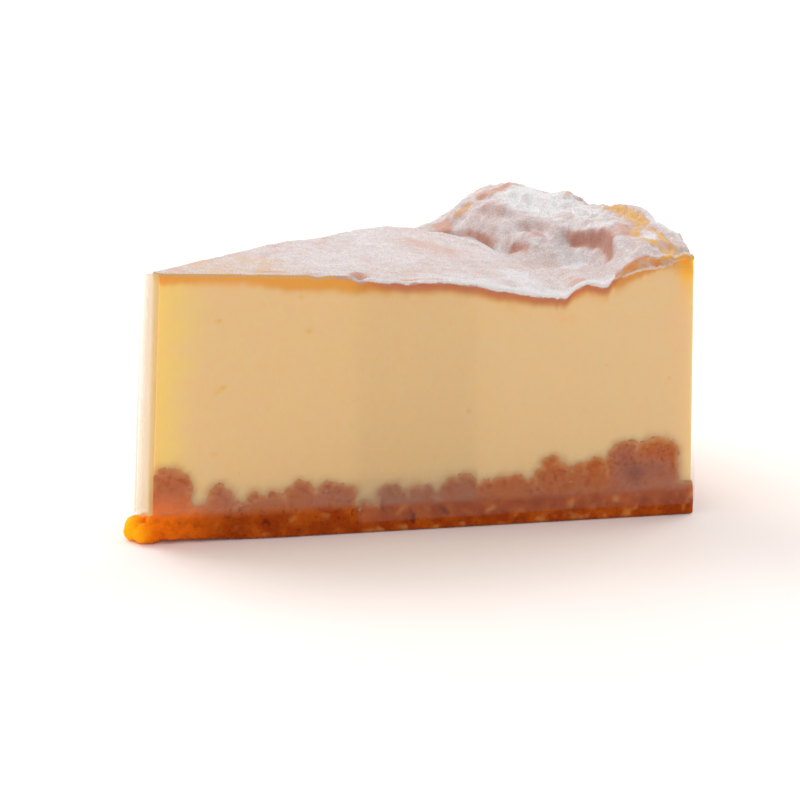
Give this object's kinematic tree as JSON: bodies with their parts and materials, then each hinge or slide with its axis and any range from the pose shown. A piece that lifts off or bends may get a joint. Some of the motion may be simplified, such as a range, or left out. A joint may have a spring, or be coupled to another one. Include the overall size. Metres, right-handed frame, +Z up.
{
  "type": "new york cheesecake slice",
  "caption": "Wedge slice of baked cheesecake: smooth pale filling with a browned, sunken top and puffed rim, on a crumb base with lumps, banded with clear film.",
  "frame": {"origin": "on the flat underside, on the slice's middle line, 45 mm from the cake's centre", "axes": "+X along the middle line from the tip to the rim, +Y towards the back cut, +Z up from the underside"},
  "size_m": [0.0963, 0.0665, 0.0474],
  "materials": {
    "baked_cheese": "satin",
    "crumb": "matte",
    "film": "gloss"
  },
  "bodies": {
    "root": {"cheese_filling": "baked_cheese", "crumble_base": "crumb", "clear_film": "film"}
  },
  "joints": []
}
